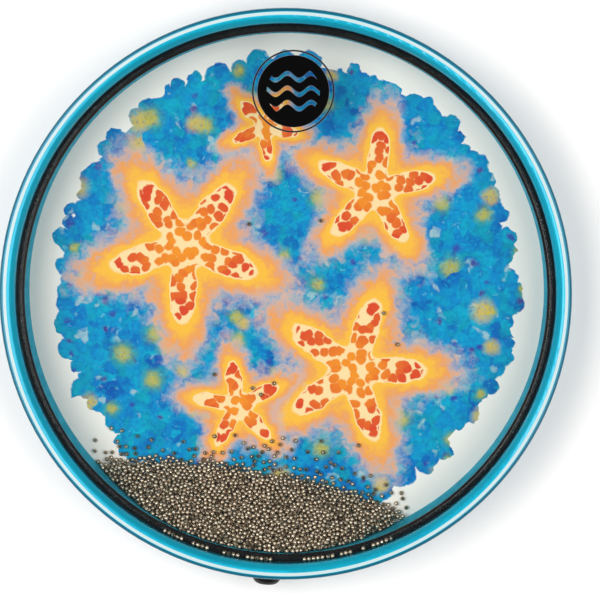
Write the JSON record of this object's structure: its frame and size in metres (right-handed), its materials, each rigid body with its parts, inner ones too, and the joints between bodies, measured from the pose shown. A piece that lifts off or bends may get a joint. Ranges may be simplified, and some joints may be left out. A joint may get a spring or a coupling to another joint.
{
  "type": "ocean drum",
  "caption": "Shallow round hand drum with a rolled steel rim, a printed back head and a clear front head, and loose steel beads that roll between them with a sound like surf.",
  "frame": {"origin": "centre of the drum's back face, on its axis", "axes": "+Z along the drum's axis, out of the clear head; +Y away from the bead pile and the filler plug"},
  "size_m": [0.254, 0.2585, 0.038],
  "materials": {
    "blue_paint": "metallic gloss paint",
    "blue_gloss": "gloss",
    "printed_film": "printed polyester film",
    "clear_film": "clear polyester film",
    "black_rubber": "satin",
    "bead_steel": "polished"
  },
  "bodies": {
    "frame": {"shell": "blue_paint", "liner_ring": "blue_gloss", "printed_head": "printed_film", "cushion_ring": "black_rubber", "clear_head": "clear_film"},
    "plug": {"filler_plug": "black_rubber"},
    "pile": {"bead_layer_1": "bead_steel", "bead_layer_2": "bead_steel", "edge_strays": "bead_steel"},
    "strays": {"centre_strays": "bead_steel"},
    "rim_row": {"rim_beads_left": "bead_steel", "rim_beads_right": "bead_steel"}
  },
  "joints": [
    {"name": "plug_pull", "type": "slide", "parent": "frame", "child": "plug", "axis": [-0.068, -0.9977, 0], "range_m": [0, 0.012]},
    {"name": "pile_roll", "type": "hinge", "parent": "frame", "child": "pile", "pos_m": [0, 0, 0], "axis": [0, 0, 1], "continuous": true},
    {"name": "stray_roll", "type": "hinge", "parent": "frame", "child": "strays", "pos_m": [0, 0, 0], "axis": [0, 0, 1], "continuous": true},
    {"name": "rim_roll", "type": "hinge", "parent": "frame", "child": "rim_row", "pos_m": [0, 0, 0], "axis": [0, 0, 1], "continuous": true}
  ]
}
